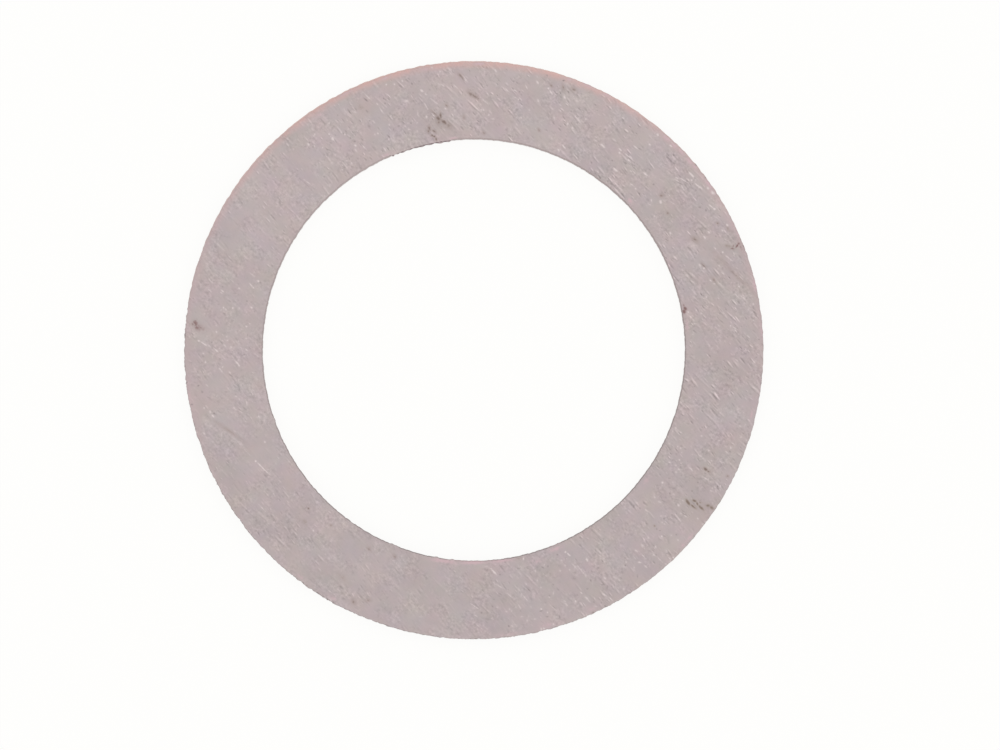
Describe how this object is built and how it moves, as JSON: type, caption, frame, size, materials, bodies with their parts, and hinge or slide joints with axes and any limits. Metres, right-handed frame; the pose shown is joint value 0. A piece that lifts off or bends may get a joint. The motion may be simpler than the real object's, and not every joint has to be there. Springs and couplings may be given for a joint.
{
  "type": "shim ring",
  "caption": "Thin flat steel ring that fits over a shaft or into a housing and takes up the end gap beside a bearing or gear.",
  "frame": {"origin": "centre of the bore in the plane of the lower face", "axes": "+Z along the bore, out of the upper face, which carries the rim's rounded edge; the rolling marks run from -X +Y to +X -Y"},
  "size_m": [0.0248, 0.0248, 0.0005],
  "materials": {
    "rolled_steel": "satin, with fine straight rolling marks, a few dark pits and brown specks"
  },
  "bodies": {
    "root": {"shim_ring": "rolled_steel"}
  },
  "joints": []
}
